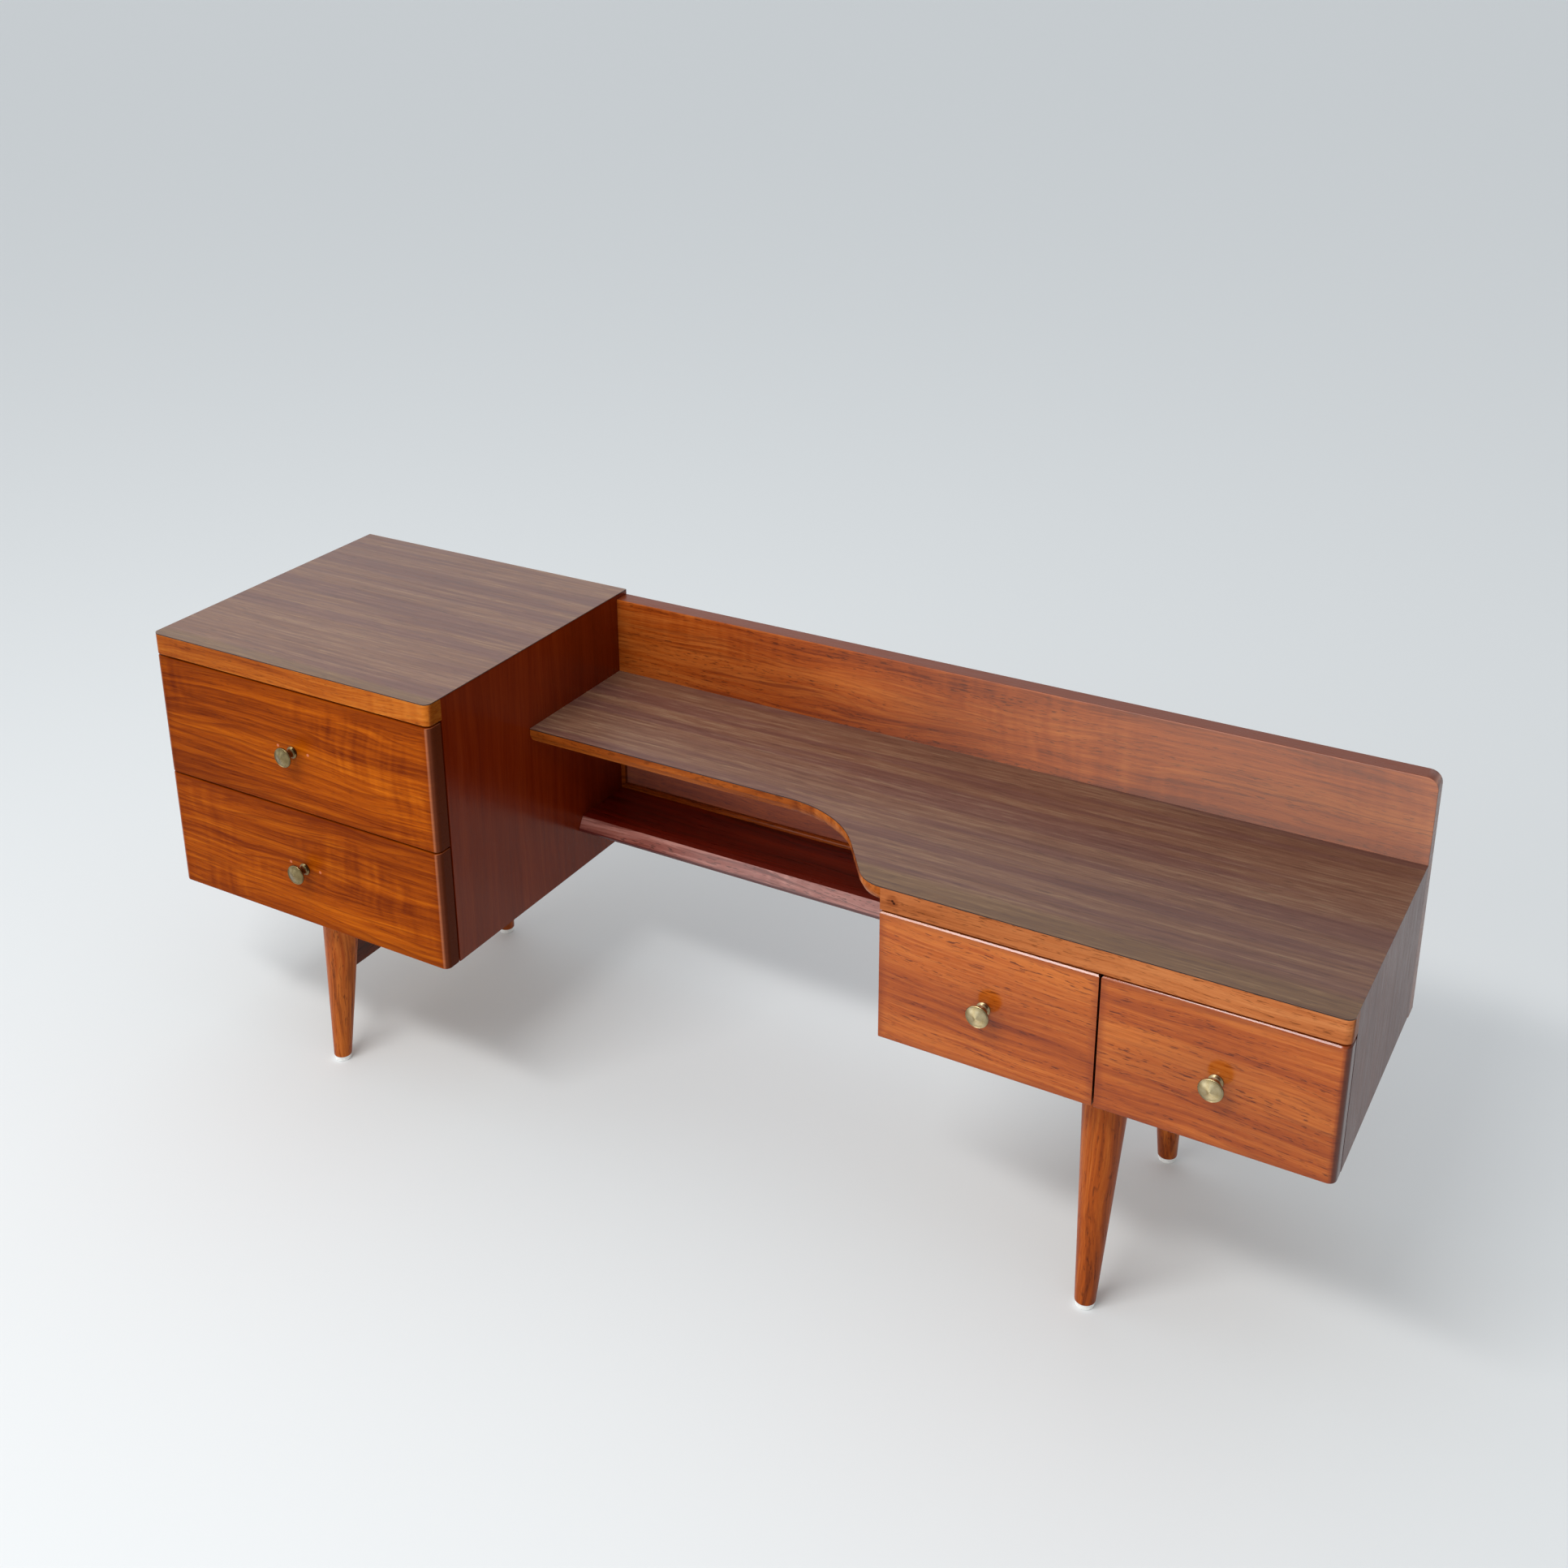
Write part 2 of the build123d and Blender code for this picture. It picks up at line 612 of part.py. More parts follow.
def leg_rail(pair):
    """Rail between the two legs, with an arched lower edge and scribed ends."""
    low = pair.base - pair.rail_drop
    front = pair.tops["front"]
    back = pair.tops["back"]
    shoulder = front + 2.6 * pair.top_radius
    far_shoulder = back - 2.6 * pair.top_radius
    middle = (front + back) / 2
    outline = [
        Polyline((far_shoulder, low), (back, low), (back, pair.base), (front, pair.base),
                 (front, low), (shoulder, low)),
        ThreePointArc((shoulder, low), (middle, low + pair.arch_rise), (far_shoulder, low)),
    ]
    side = Plane(origin=(pair.x - LEG_RAIL / 2, 0, 0), x_dir=(0, 1, 0), z_dir=(1, 0, 0))
    rail = extrude(side * make_face(outline), LEG_RAIL)
    ends = [
        edge for edge in rail.edges().filter_by(Axis.X)
        if abs(edge.center().Z - low) < 0.1 and front + 1 < edge.center().Y < back - 1
    ]
    rail = fillet(ends, ARCH_EASE)
    rail -= [leg_body(pair, end, SCRIBE) for end in ("front", "back")]
    between = rail.solids().sort_by(lambda solid: abs(solid.center().Y - middle))[0]
    return between + tenons(pair)


def glide(pair, end):
    """Domed white glide under a foot."""
    disc = Pos(pair.x, pair.feet[end], GLIDE_HEIGHT / 2) * Cylinder(GLIDE_RADIUS, GLIDE_HEIGHT)
    return fillet(disc.edges().group_by(Axis.Z)[0], GLIDE_ROUND)


def make_legs():
    glides = []
    for pair in leg_pairs():
        sockets = dowels(0.05) + tenons(pair)
        for end in ("front", "back"):
            leg = leg_body(pair, end)
            leg = fillet(leg.edges().group_by(Axis.Z)[0], 1.5)
            save(f"{pair.name}_{end}_leg", leg - sockets)
            glides.append(glide(pair, end))
        save(f"{pair.name}_leg_rail", leg_rail(pair))
    save("leg_glides", Compound(children=glides))
    save("leg_dowels", Compound(children=dowels()))


os.makedirs("parts", exist_ok=True)
make_pedestal()
make_desk()
make_shelf()
make_drawer_unit()
for each in all_drawers():
    make_drawer(each)
make_runners()
make_legs()
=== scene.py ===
"""Looks of the low teak dressing table: materials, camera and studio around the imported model."""

import math
from typing import NamedTuple

import bpy
from mathutils import Euler, Matrix, Vector


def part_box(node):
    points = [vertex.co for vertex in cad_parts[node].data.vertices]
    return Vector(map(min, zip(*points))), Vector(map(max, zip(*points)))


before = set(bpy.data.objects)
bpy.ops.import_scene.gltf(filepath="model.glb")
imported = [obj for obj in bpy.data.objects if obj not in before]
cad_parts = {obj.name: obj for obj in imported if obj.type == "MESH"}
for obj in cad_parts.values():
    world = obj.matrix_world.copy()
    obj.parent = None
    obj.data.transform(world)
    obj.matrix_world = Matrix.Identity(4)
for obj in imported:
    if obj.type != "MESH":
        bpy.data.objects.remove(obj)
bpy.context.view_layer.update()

X_AXIS, Y_AXIS, Z_AXIS = 0, 1, 2
PEDESTAL_DRAWERS = ("upper_drawer", "lower_drawer")
DRAWERS = PEDESTAL_DRAWERS + ("left_drawer", "right_drawer")
LIP_NOSE = 0.0055  # height of the shelf lip's darker lowest strip
EDGE_BREAK = 0.0004  # width by which sharp wooden edges are taken off
WELD_REACH = 0.00002
NO_BEVEL = ("knob", "screw", "screws", "glides", "leg", "dowels", "laminate")
OLD_HOLES = ((0.026, 0.002), (-0.024, 0.004))  # x and z from a pedestal knob's centre
TONE_STOPS = (0.38, 0.5, 0.61)  # where a wood is dark, middle and light
DEEPEST = 0.35  # pores and end grain against the dark tone


# ---- shader graphs ---------------------------------------------------------------------------
class Graph:
    """A material whose nodes are added one call at a time."""

    def __init__(self, name, roughness=0.5, specular=0.5, metallic=0.0, coat=0.0,
                 coat_roughness=0.2):
        self.material = bpy.data.materials.new(name)
        self.material.use_nodes = True
        self.nodes = self.material.node_tree.nodes
        self.links = self.material.node_tree.links
        self.shader = self.nodes["Principled BSDF"]
        self.shader.inputs["Roughness"].default_value = roughness
        self.shader.inputs["Specular IOR Level"].default_value = specular
        self.shader.inputs["Metallic"].default_value = metallic
        self.shader.inputs["Coat Weight"].default_value = coat
        self.shader.inputs["Coat Roughness"].default_value = coat_roughness
        self.place = self.add("TexCoord").outputs["Object"]

    def add(self, kind, settings=None, inputs=None):
        """A new shader node: settings are its properties, inputs are values or sockets."""
        node = self.nodes.new("ShaderNode" + kind)
        for key, value in (settings or {}).items():
            setattr(node, key, value)
        for key, value in (inputs or {}).items():
            self.feed(node.inputs[key], value)
        return node

    def feed(self, socket, value):
        if isinstance(value, bpy.types.NodeSocket):
            self.links.new(value, socket)
        else:
            socket.default_value = value

    def moved(self, vector, location, scale=(1, 1, 1), rotation=(0, 0, 0)):
        inputs = {"Vector": vector, "Location": location, "Rotation": rotation, "Scale": scale}
        return self.add("Mapping", None, inputs).outputs[0]

    def streaks(self, vector, lengthwise, crosswise, detail=2.0, roughness=0.5):
        """Noise drawn out along x."""
        stretched = self.moved(vector, (0, 0, 0), (lengthwise, crosswise, crosswise))
        return self.noise(stretched, detail=detail, roughness=roughness)

    def noise(self, vector, scale=1.0, detail=2.0, roughness=0.5):
        inputs = {"Vector": vector, "Scale": scale, "Detail": detail, "Roughness": roughness}
        return self.add("TexNoise", None, inputs).outputs["Fac"]

    def calculate(self, operation, first, second=0.0, clamp=False):
        node = self.add("Math", {"operation": operation, "use_clamp": clamp})
        self.feed(node.inputs[0], first)
        self.feed(node.inputs[1], second)
        return node.outputs[0]

    def fit(self, value, low, high, out_low=0.0, out_high=1.0):
        """Value from low..high brought to out_low..out_high, with soft ends."""
        inputs = {"Value": value, "From Min": low, "From Max": high,
                  "To Min": out_low, "To Max": out_high}
        settings = {"interpolation_type": "SMOOTHSTEP", "clamp": True}
        return self.add("MapRange", settings, inputs).outputs["Result"]

    def ramp(self, value, stops):
        node = self.add("ValToRGB", None, {"Fac": value})
        ramp = node.color_ramp
        while len(ramp.elements) < len(stops):
            ramp.elements.new(0.5)
        for element, (position, colour) in zip(ramp.elements, stops):
            element.position = position
            element.color = (*colour, 1)
        return node.outputs["Color"]

    def mix(self, factor, first, second, blend="MIX"):
        node = self.add("Mix", {"data_type": "RGBA", "blend_type": blend})
        self.feed(node.inputs[0], factor)
        self.feed(node.inputs[6], first if not isinstance(first, tuple) else (*first, 1))
        self.feed(node.inputs[7], second if not isinstance(second, tuple) else (*second, 1))
        return node.outputs[2]

    def facing(self, axis, low, high, strength):
        """Up to strength where the surface looks along an axis, either way."""
        normal = self.add("TexCoord").outputs["Normal"]
        part = self.add("SeparateXYZ", None, {0: normal}).outputs[axis]
        return self.fit(self.calculate("ABSOLUTE", part), low, high, 0.0, strength)

    def spot(self, centre, radius, soft):
        """1 inside a ball around a point of the frame, falling to 0 over soft."""
        away = self.add("VectorMath", {"operation": "DISTANCE"},
                        {0: self.place, 1: tuple(centre)}).outputs["Value"]
        return self.fit(away, radius, radius + soft, 1.0, 0.0)

    def finish(self, colour, roughness=None, height=None, bump=0.3, depth=0.0004):
        """Connect what varies over the surface, and give back the material."""
        self.feed(self.shader.inputs["Base Color"], colour)
        if roughness is not None:
            self.feed(self.shader.inputs["Roughness"], roughness)
        if height is not None:
            inputs = {"Height": height, "Strength": bump, "Distance": depth}
            normal = self.add("Bump", None, inputs).outputs["Normal"]
            self.feed(self.shader.inputs["Normal"], normal)
        return self.material


def srgb(red, green, blue):
    """A colour given as 0..255 screen values, in the shader's linear values."""
    def linear(value):
        value /= 255
        return value / 12.92 if value <= 0.04045 else ((value + 0.055) / 1.055) ** 2.4
    return linear(red), linear(green), linear(blue)


# ---- wood ------------------------------------------------------------------------------------
class Species(NamedTuple):
    """How one kind of wood looks: three tones, its figure and its lacquer."""
    dark: tuple
    middle: tuple
    light: tuple
    streaks: float = 0.35            # dark growth streaks
    pores: float = 0.45              # short dark dashes
    ripple: float = 0.0              # waves of light across the grain
    blotch: float = 0.25             # cloudy darker patches
    rings: float = 0.0               # arches of growth rings
    lean: float = 0.0                # slope of the grain, in radians
    roughness: float = 0.32
    specular: float = 0.25
    tint: tuple = (1.0, 1.0, 1.0)    # colour of the wood's own reflection
    coat: float = 0.1                # weight of the lacquer
    gloss: float = 0.2               # roughness of the lacquer


def grain_scale(grain, thin, lengthwise, crosswise):
    """Noise scale per axis: long along the grain, calmer through the board's thickness."""
    scale = [crosswise] * 3
    if thin is not None:
        scale[thin] = crosswise * 0.3
    scale[grain] = lengthwise
    return scale


def grain_layers(graph, grain, thin, seed, lean):
    """Streak patterns of a board, from broad bands down to single pores."""
    def streaks(vector, lengthwise, crosswise, detail=2.0, roughness=0.5):
        stretched = graph.moved(vector, (0, 0, 0), grain_scale(grain, thin, lengthwise, crosswise))
        return graph.noise(stretched, detail=detail, roughness=roughness)

    def bent(vector, lengthwise, crosswise, reach):
        wave = graph.calculate("SUBTRACT", streaks(vector, lengthwise, crosswise), 0.5)
        wave = graph.calculate("MULTIPLY", wave, reach)
        return graph.add("VectorMath", {"operation": "ADD"}, {0: vector, 1: wave}).outputs[0]

    offset = (seed * 0.73, seed * 1.31, seed * 2.17)
    place = graph.moved(graph.place, offset, rotation=(0, lean, 0))
    wavy = bent(bent(place, 2.2, 8.0, 0.05), 14.0, 30.0, 0.004)
    return {
        "place": wavy,
        "bands": streaks(wavy, 1.3, 22.0, 3, 0.55),
        "lines": streaks(wavy, 2.6, 110.0, 3, 0.6),
        "growth": graph.fit(streaks(wavy, 5.0, 230.0, 2), 0.54, 0.63),
        "fibre": streaks(wavy, 14.0, 420.0, 3, 0.65),
        "pores": graph.fit(streaks(wavy, 85.0, 720.0, 1), 0.59, 0.67),
        "patches": graph.fit(streaks(place, 2.6, 7.0), 0.36, 0.64),
        "ripple": streaks(wavy, 75.0, 9.0, 1),
        "rippled": graph.fit(streaks(place, 5.0, 10.0), 0.47, 0.62),
    }


def growth_rings(graph, grain, thin, wavy_place, spacing=0.011):
    """Thin lines of flat-sawn growth rings, closing into long arches here and there."""
    scale = grain_scale(grain, thin, 2.4, 11.0)
    bend = graph.noise(graph.moved(wavy_place, (0, 0, 0), scale), detail=1.0)
    across = next(axis for axis in (Z_AXIS, Y_AXIS, X_AXIS) if axis not in (grain, thin))
    height = graph.add("SeparateXYZ", None, {0: wavy_place}).outputs[across]
    phase = weighted(graph, [(height, 1 / spacing), (bend, 9.0)])
    saw = graph.calculate("FRACT", phase)
    return graph.calculate("MULTIPLY", graph.fit(saw, 0.55, 0.95), graph.fit(saw, 1.0, 0.95))


def weighted(graph, parts):
    """Sum of values, each with its own weight."""
    total = 0.0
    for value, weight in parts:
        total = graph.calculate("ADD", graph.calculate("MULTIPLY", value, weight), total)
    return total


def wood(name, species, grain, thin, seed, marks=()):
    """Material of one wooden piece. Grain and thin are axes, and each mark is painted in turn."""
    graph = Graph(name, specular=species.specular, coat=species.coat,
                  coat_roughness=species.gloss)
    graph.shader.inputs["Specular Tint"].default_value = (*species.tint, 1)
    layer = grain_layers(graph, grain, thin, seed, species.lean)
    tone = weighted(graph, [(layer["bands"], 0.40), (layer["lines"], 0.32), (layer["fibre"], 0.28)])
    if species.ripple:
        ripple = graph.calculate("SUBTRACT", layer["ripple"], 0.5)
        ripple = graph.calculate("MULTIPLY", ripple, layer["rippled"])
        tone = weighted(graph, [(ripple, species.ripple), (tone, 1.0)])
    tones = (species.dark, species.middle, species.light)
    colour = graph.ramp(tone, list(zip(TONE_STOPS, tones)))
    deep = tuple(DEEPEST * value for value in species.dark)
    patch = graph.calculate("MULTIPLY", layer["patches"], species.blotch)
    colour = graph.mix(patch, colour, species.dark)
    growth = graph.calculate("MULTIPLY", layer["growth"], layer["patches"])
    colour = graph.mix(graph.calculate("MULTIPLY", growth, species.streaks), colour, species.dark)
    if species.rings:
        rings = growth_rings(graph, grain, thin, layer["place"])
        rings = graph.calculate("MULTIPLY", rings, graph.fit(layer["lines"], 0.40, 0.56))
        colour = graph.mix(graph.calculate("MULTIPLY", rings, species.rings), colour, species.dark)
    clustered = graph.fit(layer["lines"], 0.40, 0.60, 1.0, 0.25)
    pores = graph.calculate("MULTIPLY", layer["pores"], clustered)
    colour = graph.mix(graph.calculate("MULTIPLY", pores, species.pores), colour, deep)
    for mark in marks:
        colour = mark(graph, colour)
    end_grain = graph.facing(grain, 0.75, 0.95, 0.6)
    colour = graph.mix(end_grain, colour, deep)
    roughness = graph.fit(layer["fibre"], 0.3, 0.7, species.roughness - 0.05, species.roughness + 0.07)
    height = weighted(graph, [(layer["fibre"], 0.35), (layer["pores"], -1.0)])
    return graph.finish(colour, roughness, height, bump=0.3, depth=0.0002)


TEAK_FRONT = Species(srgb(106, 36, 1), srgb(160, 71, 3), srgb(194, 98, 10), ripple=0.2,
                     streaks=0.6, specular=0.03, coat=0.0, rings=0.6, pores=0.3)
TEAK_FRONT_RED = Species(srgb(122, 44, 6), srgb(172, 80, 16), srgb(198, 108, 38), pores=0.8,
                         streaks=0.55, specular=0.0, coat=0.8, gloss=0.17, lean=-0.05,
                         rings=0.15, blotch=0.3)
TEAK_RAIL = Species(srgb(126, 52, 8), srgb(172, 86, 18), srgb(198, 114, 36), ripple=0.14,
                    specular=0.05, coat=0.03, pores=0.4)
TEAK_RAIL_RED = TEAK_RAIL._replace(dark=srgb(134, 68, 30), middle=srgb(182, 104, 56),
                                   light=srgb(200, 124, 72), ripple=0.0, pores=0.7)
TEAK_LIPPING = TEAK_RAIL._replace(dark=srgb(116, 50, 12), middle=srgb(160, 80, 24),
                                  light=srgb(188, 108, 48), ripple=0.45)
TEAK_BACKBOARD = Species(srgb(112, 40, 6), srgb(168, 76, 18), srgb(196, 106, 40), pores=0.7,
                         streaks=0.7, ripple=0.14, blotch=0.4, specular=0.2, rings=0.2)
# Painted shade: a darker, redder copy of the veneer for faces turned away from the light; the lit copy
# is OUTER_VENEER.
SHADED_SIDE_VENEER = Species(srgb(96, 24, 2), srgb(108, 30, 3), srgb(119, 38, 6), pores=0.15,
                      streaks=0.1, blotch=0.1, roughness=0.2, specular=0.22, coat=0.0,
                      tint=(1.0, 0.95, 0.6))
OUTER_VENEER = Species(srgb(100, 38, 12), srgb(128, 54, 20), srgb(150, 72, 30), streaks=0.3)
# Painted shade and painted grey sheen: darker, greyer veneer for the unit's end panel.
END_VENEER_SHADE_AND_SHEEN = Species(srgb(82, 40, 30), srgb(92, 47, 35), srgb(102, 55, 41), pores=0.15,
                     streaks=0.1, blotch=0.1, specular=0.22, coat=0.0)
LEG_WOOD = Species(srgb(110, 44, 8), srgb(162, 74, 16), srgb(192, 104, 36), pores=0.6,
                   streaks=0.7, specular=0.12, coat=0.05)
# Painted shade: the leg wood made far darker for the rails beneath the cabinet.
SHADED_LEG_RAIL_WOOD = Species(srgb(58, 22, 8), srgb(92, 36, 12), srgb(118, 54, 22), specular=0.2)
SHELF_WOOD = Species(srgb(64, 7, 0), srgb(112, 20, 3), srgb(136, 38, 10), pores=0.3, streaks=0.6)
LIP_WOOD = Species(srgb(98, 40, 32), srgb(148, 82, 70), srgb(190, 130, 118), ripple=0.5,
                   streaks=0.9, pores=0.75, specular=0.4, coat=0.2)
INSIDE_WOOD = Species(srgb(140, 100, 62), srgb(176, 136, 92), srgb(200, 162, 118), coat=0.0,
                      roughness=0.6)
BOX_WOOD = Species(srgb(158, 116, 70), srgb(194, 152, 102), srgb(216, 178, 130), roughness=0.5)
PLY_WOOD = Species(srgb(146, 96, 54), srgb(180, 130, 80), srgb(202, 156, 104), coat=0.0,
                   roughness=0.55, pores=0.7)
RUNNER_WOOD = Species(srgb(146, 108, 64), srgb(182, 142, 94), srgb(206, 170, 120), coat=0.0,
                      roughness=0.5)


# ---- other materials -------------------------------------------------------------------------
def laminate(name, seed, front, strip, marks):
    """Wood-grain laminate: printed purplish bands and pale flecks; along the front runs an olive
    strip.

    Its edge is the dark core, without print.
    """
    graph = Graph(name, specular=0.42)
    place = graph.moved(graph.place, (seed * 0.9, seed * 1.7, 0))
    wave = graph.calculate("SUBTRACT", graph.streaks(place, 2.0, 7.0), 0.5)
    wave = graph.calculate("MULTIPLY", wave, 0.015)
    place = graph.add("VectorMath", {"operation": "ADD"}, {0: place, 1: wave}).outputs[0]
    bands = graph.streaks(place, 1.7, 38.0, 2)
    lines = graph.streaks(place, 3.5, 140.0, 3, 0.6)
    fine = graph.streaks(place, 20.0, 380.0, 3, 0.65)
    dashes = graph.streaks(place, 40.0, 520.0, 1)
    tone = weighted(graph, [(lines, 0.5), (fine, 0.5)])
    brown = graph.ramp(tone, [(0.38, srgb(104, 68, 52)), (0.5, srgb(120, 83, 64)),
                              (0.62, srgb(136, 101, 78))])
    purple = graph.ramp(tone, [(0.38, srgb(94, 59, 51)), (0.62, srgb(116, 78, 67))])
    olive = graph.ramp(tone, [(0.38, srgb(97, 66, 46)), (0.62, srgb(126, 94, 64))])
    colour = graph.mix(graph.fit(bands, 0.46, 0.60, 0.0, 0.85), brown, purple)
    depth = graph.add("SeparateXYZ", None, {0: graph.place}).outputs["Y"]
    depth = weighted(graph, [(wave, 0.6), (depth, 1.0)])
    colour = graph.mix(graph.fit(depth, front + strip, front + 0.6 * strip), colour, olive)
    flecked = graph.calculate("MULTIPLY", graph.fit(fine, 0.53, 0.64), graph.fit(lines, 0.46, 0.58))
    colour = graph.mix(graph.calculate("MULTIPLY", flecked, 0.28), colour, srgb(152, 126, 96))
    dark = graph.calculate("MULTIPLY", graph.fit(dashes, 0.63, 0.70), 0.4)
    colour = graph.mix(dark, colour, srgb(62, 40, 32))
    for mark in marks:
        colour = mark(graph, colour)
    printed = graph.facing(Z_AXIS, 0.2, 0.6, 1.0)
    colour = graph.mix(printed, srgb(34, 12, 8), colour)
    roughness = graph.fit(fine, 0.3, 0.7, 0.32, 0.44)
    return graph.finish(colour, roughness, fine, bump=0.12, depth=0.0002)


def brass(name, low, high, brightly_lit):
    """Aged turned brass: fine rings round the knob's own axis, painted reflection in bright and dull
    wedges.

    The last argument is 0 for the browner knobs, whose colour is painted shade, and 1 for the brighter
    ones, whose colour is painted reflection.
    """
    graph = Graph(name, metallic=1.0)
    graph.shader.inputs["Anisotropic"].default_value = 0.6
    centre = (low + high) / 2
    diameter = high.x - low.x
    local = graph.moved(graph.place, tuple(-value for value in centre))
    part = graph.add("SeparateXYZ", None, {0: local}).outputs
    across = graph.add("CombineXYZ", None, {0: part["X"], 2: part["Z"]}).outputs[0]
    radius = graph.add("VectorMath", {"operation": "LENGTH"}, {0: across}).outputs["Value"]
    ringed = graph.add("CombineXYZ", None, {0: radius}).outputs[0]
    rings = graph.noise(ringed, scale=2600.0)
    age = graph.noise(local, scale=110.0, detail=4, roughness=0.6)
    # a painted shaded copy and a painted lit copy of the same brass
    old = graph.ramp(age, [(0.35, srgb(132, 114, 78)), (0.65, srgb(176, 158, 116))])
    bright = graph.ramp(age, [(0.35, srgb(216, 192, 140)), (0.65, srgb(244, 226, 184))])
    colour = graph.mix(brightly_lit, old, bright)
    # painted shade growing towards the outer edge of the face
    rim = graph.fit(radius, 0.3 * diameter, 0.48 * diameter, 0.0, 0.5)
    colour = graph.mix(rim, colour, srgb(110, 92, 60))
    # painted reflection: dull wedges by the angle round the axis, as on a turned face
    turn = graph.calculate("ARCTAN2", part["Z"], part["X"])
    turn = graph.calculate("MULTIPLY", graph.calculate("ADD", turn, 1.2), 2.0)
    wedge = graph.fit(graph.calculate("COSINE", turn), -0.6, 1.0, 0.55, 0.0)
    colour = graph.mix(wedge, colour, srgb(96, 78, 48))
    waist = graph.fit(part["Y"], -0.004, 0.0, 0.0, 0.55)
    colour = graph.mix(waist, colour, srgb(110, 84, 52))
    roughness = graph.fit(age, 0.3, 0.7, 0.28, 0.18)
    tangent = graph.add("Tangent", {"direction_type": "RADIAL", "axis": "Y"}).outputs[0]
    graph.feed(graph.shader.inputs["Tangent"], tangent)
    return graph.finish(colour, roughness, rings, bump=0.1, depth=0.0001)


def plated_steel(name):
    """Slightly cloudy plated screws."""
    graph = Graph(name, metallic=1.0)
    cloud = graph.noise(graph.place, scale=300.0, detail=3)
    colour = graph.ramp(cloud, [(0.3, srgb(150, 148, 140)), (0.7, srgb(196, 194, 188))])
    return graph.finish(colour, graph.fit(cloud, 0.3, 0.7, 0.25, 0.4), cloud, bump=0.1)


def nylon(name):
    """White glides under the feet."""
    graph = Graph(name, roughness=0.35, specular=0.5)
    cloud = graph.noise(graph.place, scale=400.0, detail=3)
    colour = graph.ramp(cloud, [(0.3, srgb(232, 232, 228)), (0.7, srgb(250, 250, 248))])
    return graph.finish(colour, graph.fit(cloud, 0.3, 0.7, 0.3, 0.45), cloud, bump=0.05)


# ---- marks on the wood -------------------------------------------------------------------------
def filled_hole(centre):
    """Small pinkish plug where an older handle's screw went."""
    def mark(graph, colour):
        return graph.mix(graph.spot(centre, 0.0016, 0.0007), colour, srgb(196, 112, 76))
    return mark


def knot(centre, size):
    """Small dark slanting knot with a halo."""
    tail = (centre[0] + 0.5 * size, centre[1], centre[2] - 0.6 * size)

    def mark(graph, colour):
        halo = graph.calculate("MULTIPLY", graph.spot(centre, size, size * 1.6), 0.45)
        colour = graph.mix(halo, colour, srgb(110, 44, 12))
        for place in (centre, tail):
            colour = graph.mix(graph.spot(place, size * 0.2, size * 0.4), colour, srgb(52, 18, 4))
        return colour
    return mark


def worn_and_shaded_border(low, high, axes, reach, strength, tone):
    """Darker wood along the outline: wear where the finish has gathered and hands have been, and
    painted shade.
    """
    def mark(graph, colour):
        place = graph.add("SeparateXYZ", None, {0: graph.place}).outputs
        nearest = 1.0
        for axis in axes:
            away = graph.calculate("SUBTRACT", place[axis], (low[axis] + high[axis]) / 2)
            away = graph.calculate("ABSOLUTE", away)
            inside = graph.calculate("SUBTRACT", (high[axis] - low[axis]) / 2, away)
            nearest = graph.calculate("MINIMUM", inside, nearest)
        cloud = graph.calculate("MULTIPLY", graph.noise(graph.place, scale=28.0), 0.4 * reach)
        nearest = graph.calculate("SUBTRACT", nearest, cloud)
        return graph.mix(graph.fit(nearest, -0.2 * reach, 0.7 * reach, strength, 0.0), colour, tone)
    return mark


def painted_rounded_end_light(turn):
    """Vertical edges: painted light in the given tone where they turn, painted dark shade on the end
    itself.
    """
    def mark(graph, colour):
        colour = graph.mix(graph.facing(X_AXIS, 0.1, 0.35, 0.35), colour, turn)
        return graph.mix(graph.facing(X_AXIS, 0.35, 0.65, 0.8), colour, srgb(74, 26, 10))
    return mark


def front_marks(drawer, species):
    """Marks of a drawer's front: outline darkened by wear and painted shade, painted light on the
    rounded ends, old screw holes.
    """
    low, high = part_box(drawer + "_front")
    pedestal = drawer in PEDESTAL_DRAWERS
    reach = 0.022 if pedestal else 0.012
    # turn is painted light: a pale highlight on the pedestal drawers' rounded ends, darker shade on
    # the unit's
    turn = srgb(206, 138, 104) if pedestal else srgb(122, 46, 14)
    marks = [worn_and_shaded_border(low, high, (X_AXIS, Z_AXIS), reach, 0.5, species.dark),
             painted_rounded_end_light(turn)]
    if drawer == "upper_drawer":
        # painted shade growing towards the pedestal's left end
        marks.append(SHADED_LEFT)
    if pedestal:
        knob_low, knob_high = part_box(drawer + "_knob")
        x = (knob_low.x + knob_high.x) / 2
        z = (knob_low.z + knob_high.z) / 2
        for beside, above in OLD_HOLES:
            marks.append(filled_hole((x + beside, low.y, z + above)))
    return marks


def fade(start, end, tone, blend):
    """The board gets paler (SCREEN) or darker (MULTIPLY) from one x to another."""
    def mark(graph, colour):
        place = graph.add("SeparateXYZ", None, {0: graph.place}).outputs
        return graph.mix(graph.fit(place["X"], start, end), colour, tone, blend)
    return mark


def painted_light_below(level, front, tone):
    """Face under the desk made paler and pinker: painted light lifting the shade below the desk."""
    def mark(graph, colour):
        place = graph.add("SeparateXYZ", None, {0: graph.place}).outputs
        below = graph.fit(place["Z"], level - 0.004, level, 1.0, 0.0)
        in_front = graph.fit(place["Y"], front + 0.002, front + 0.003, 1.0, 0.0)
        below = graph.calculate("MULTIPLY", below, in_front)
        return graph.mix(below, colour, tone, "SCREEN")
    return mark


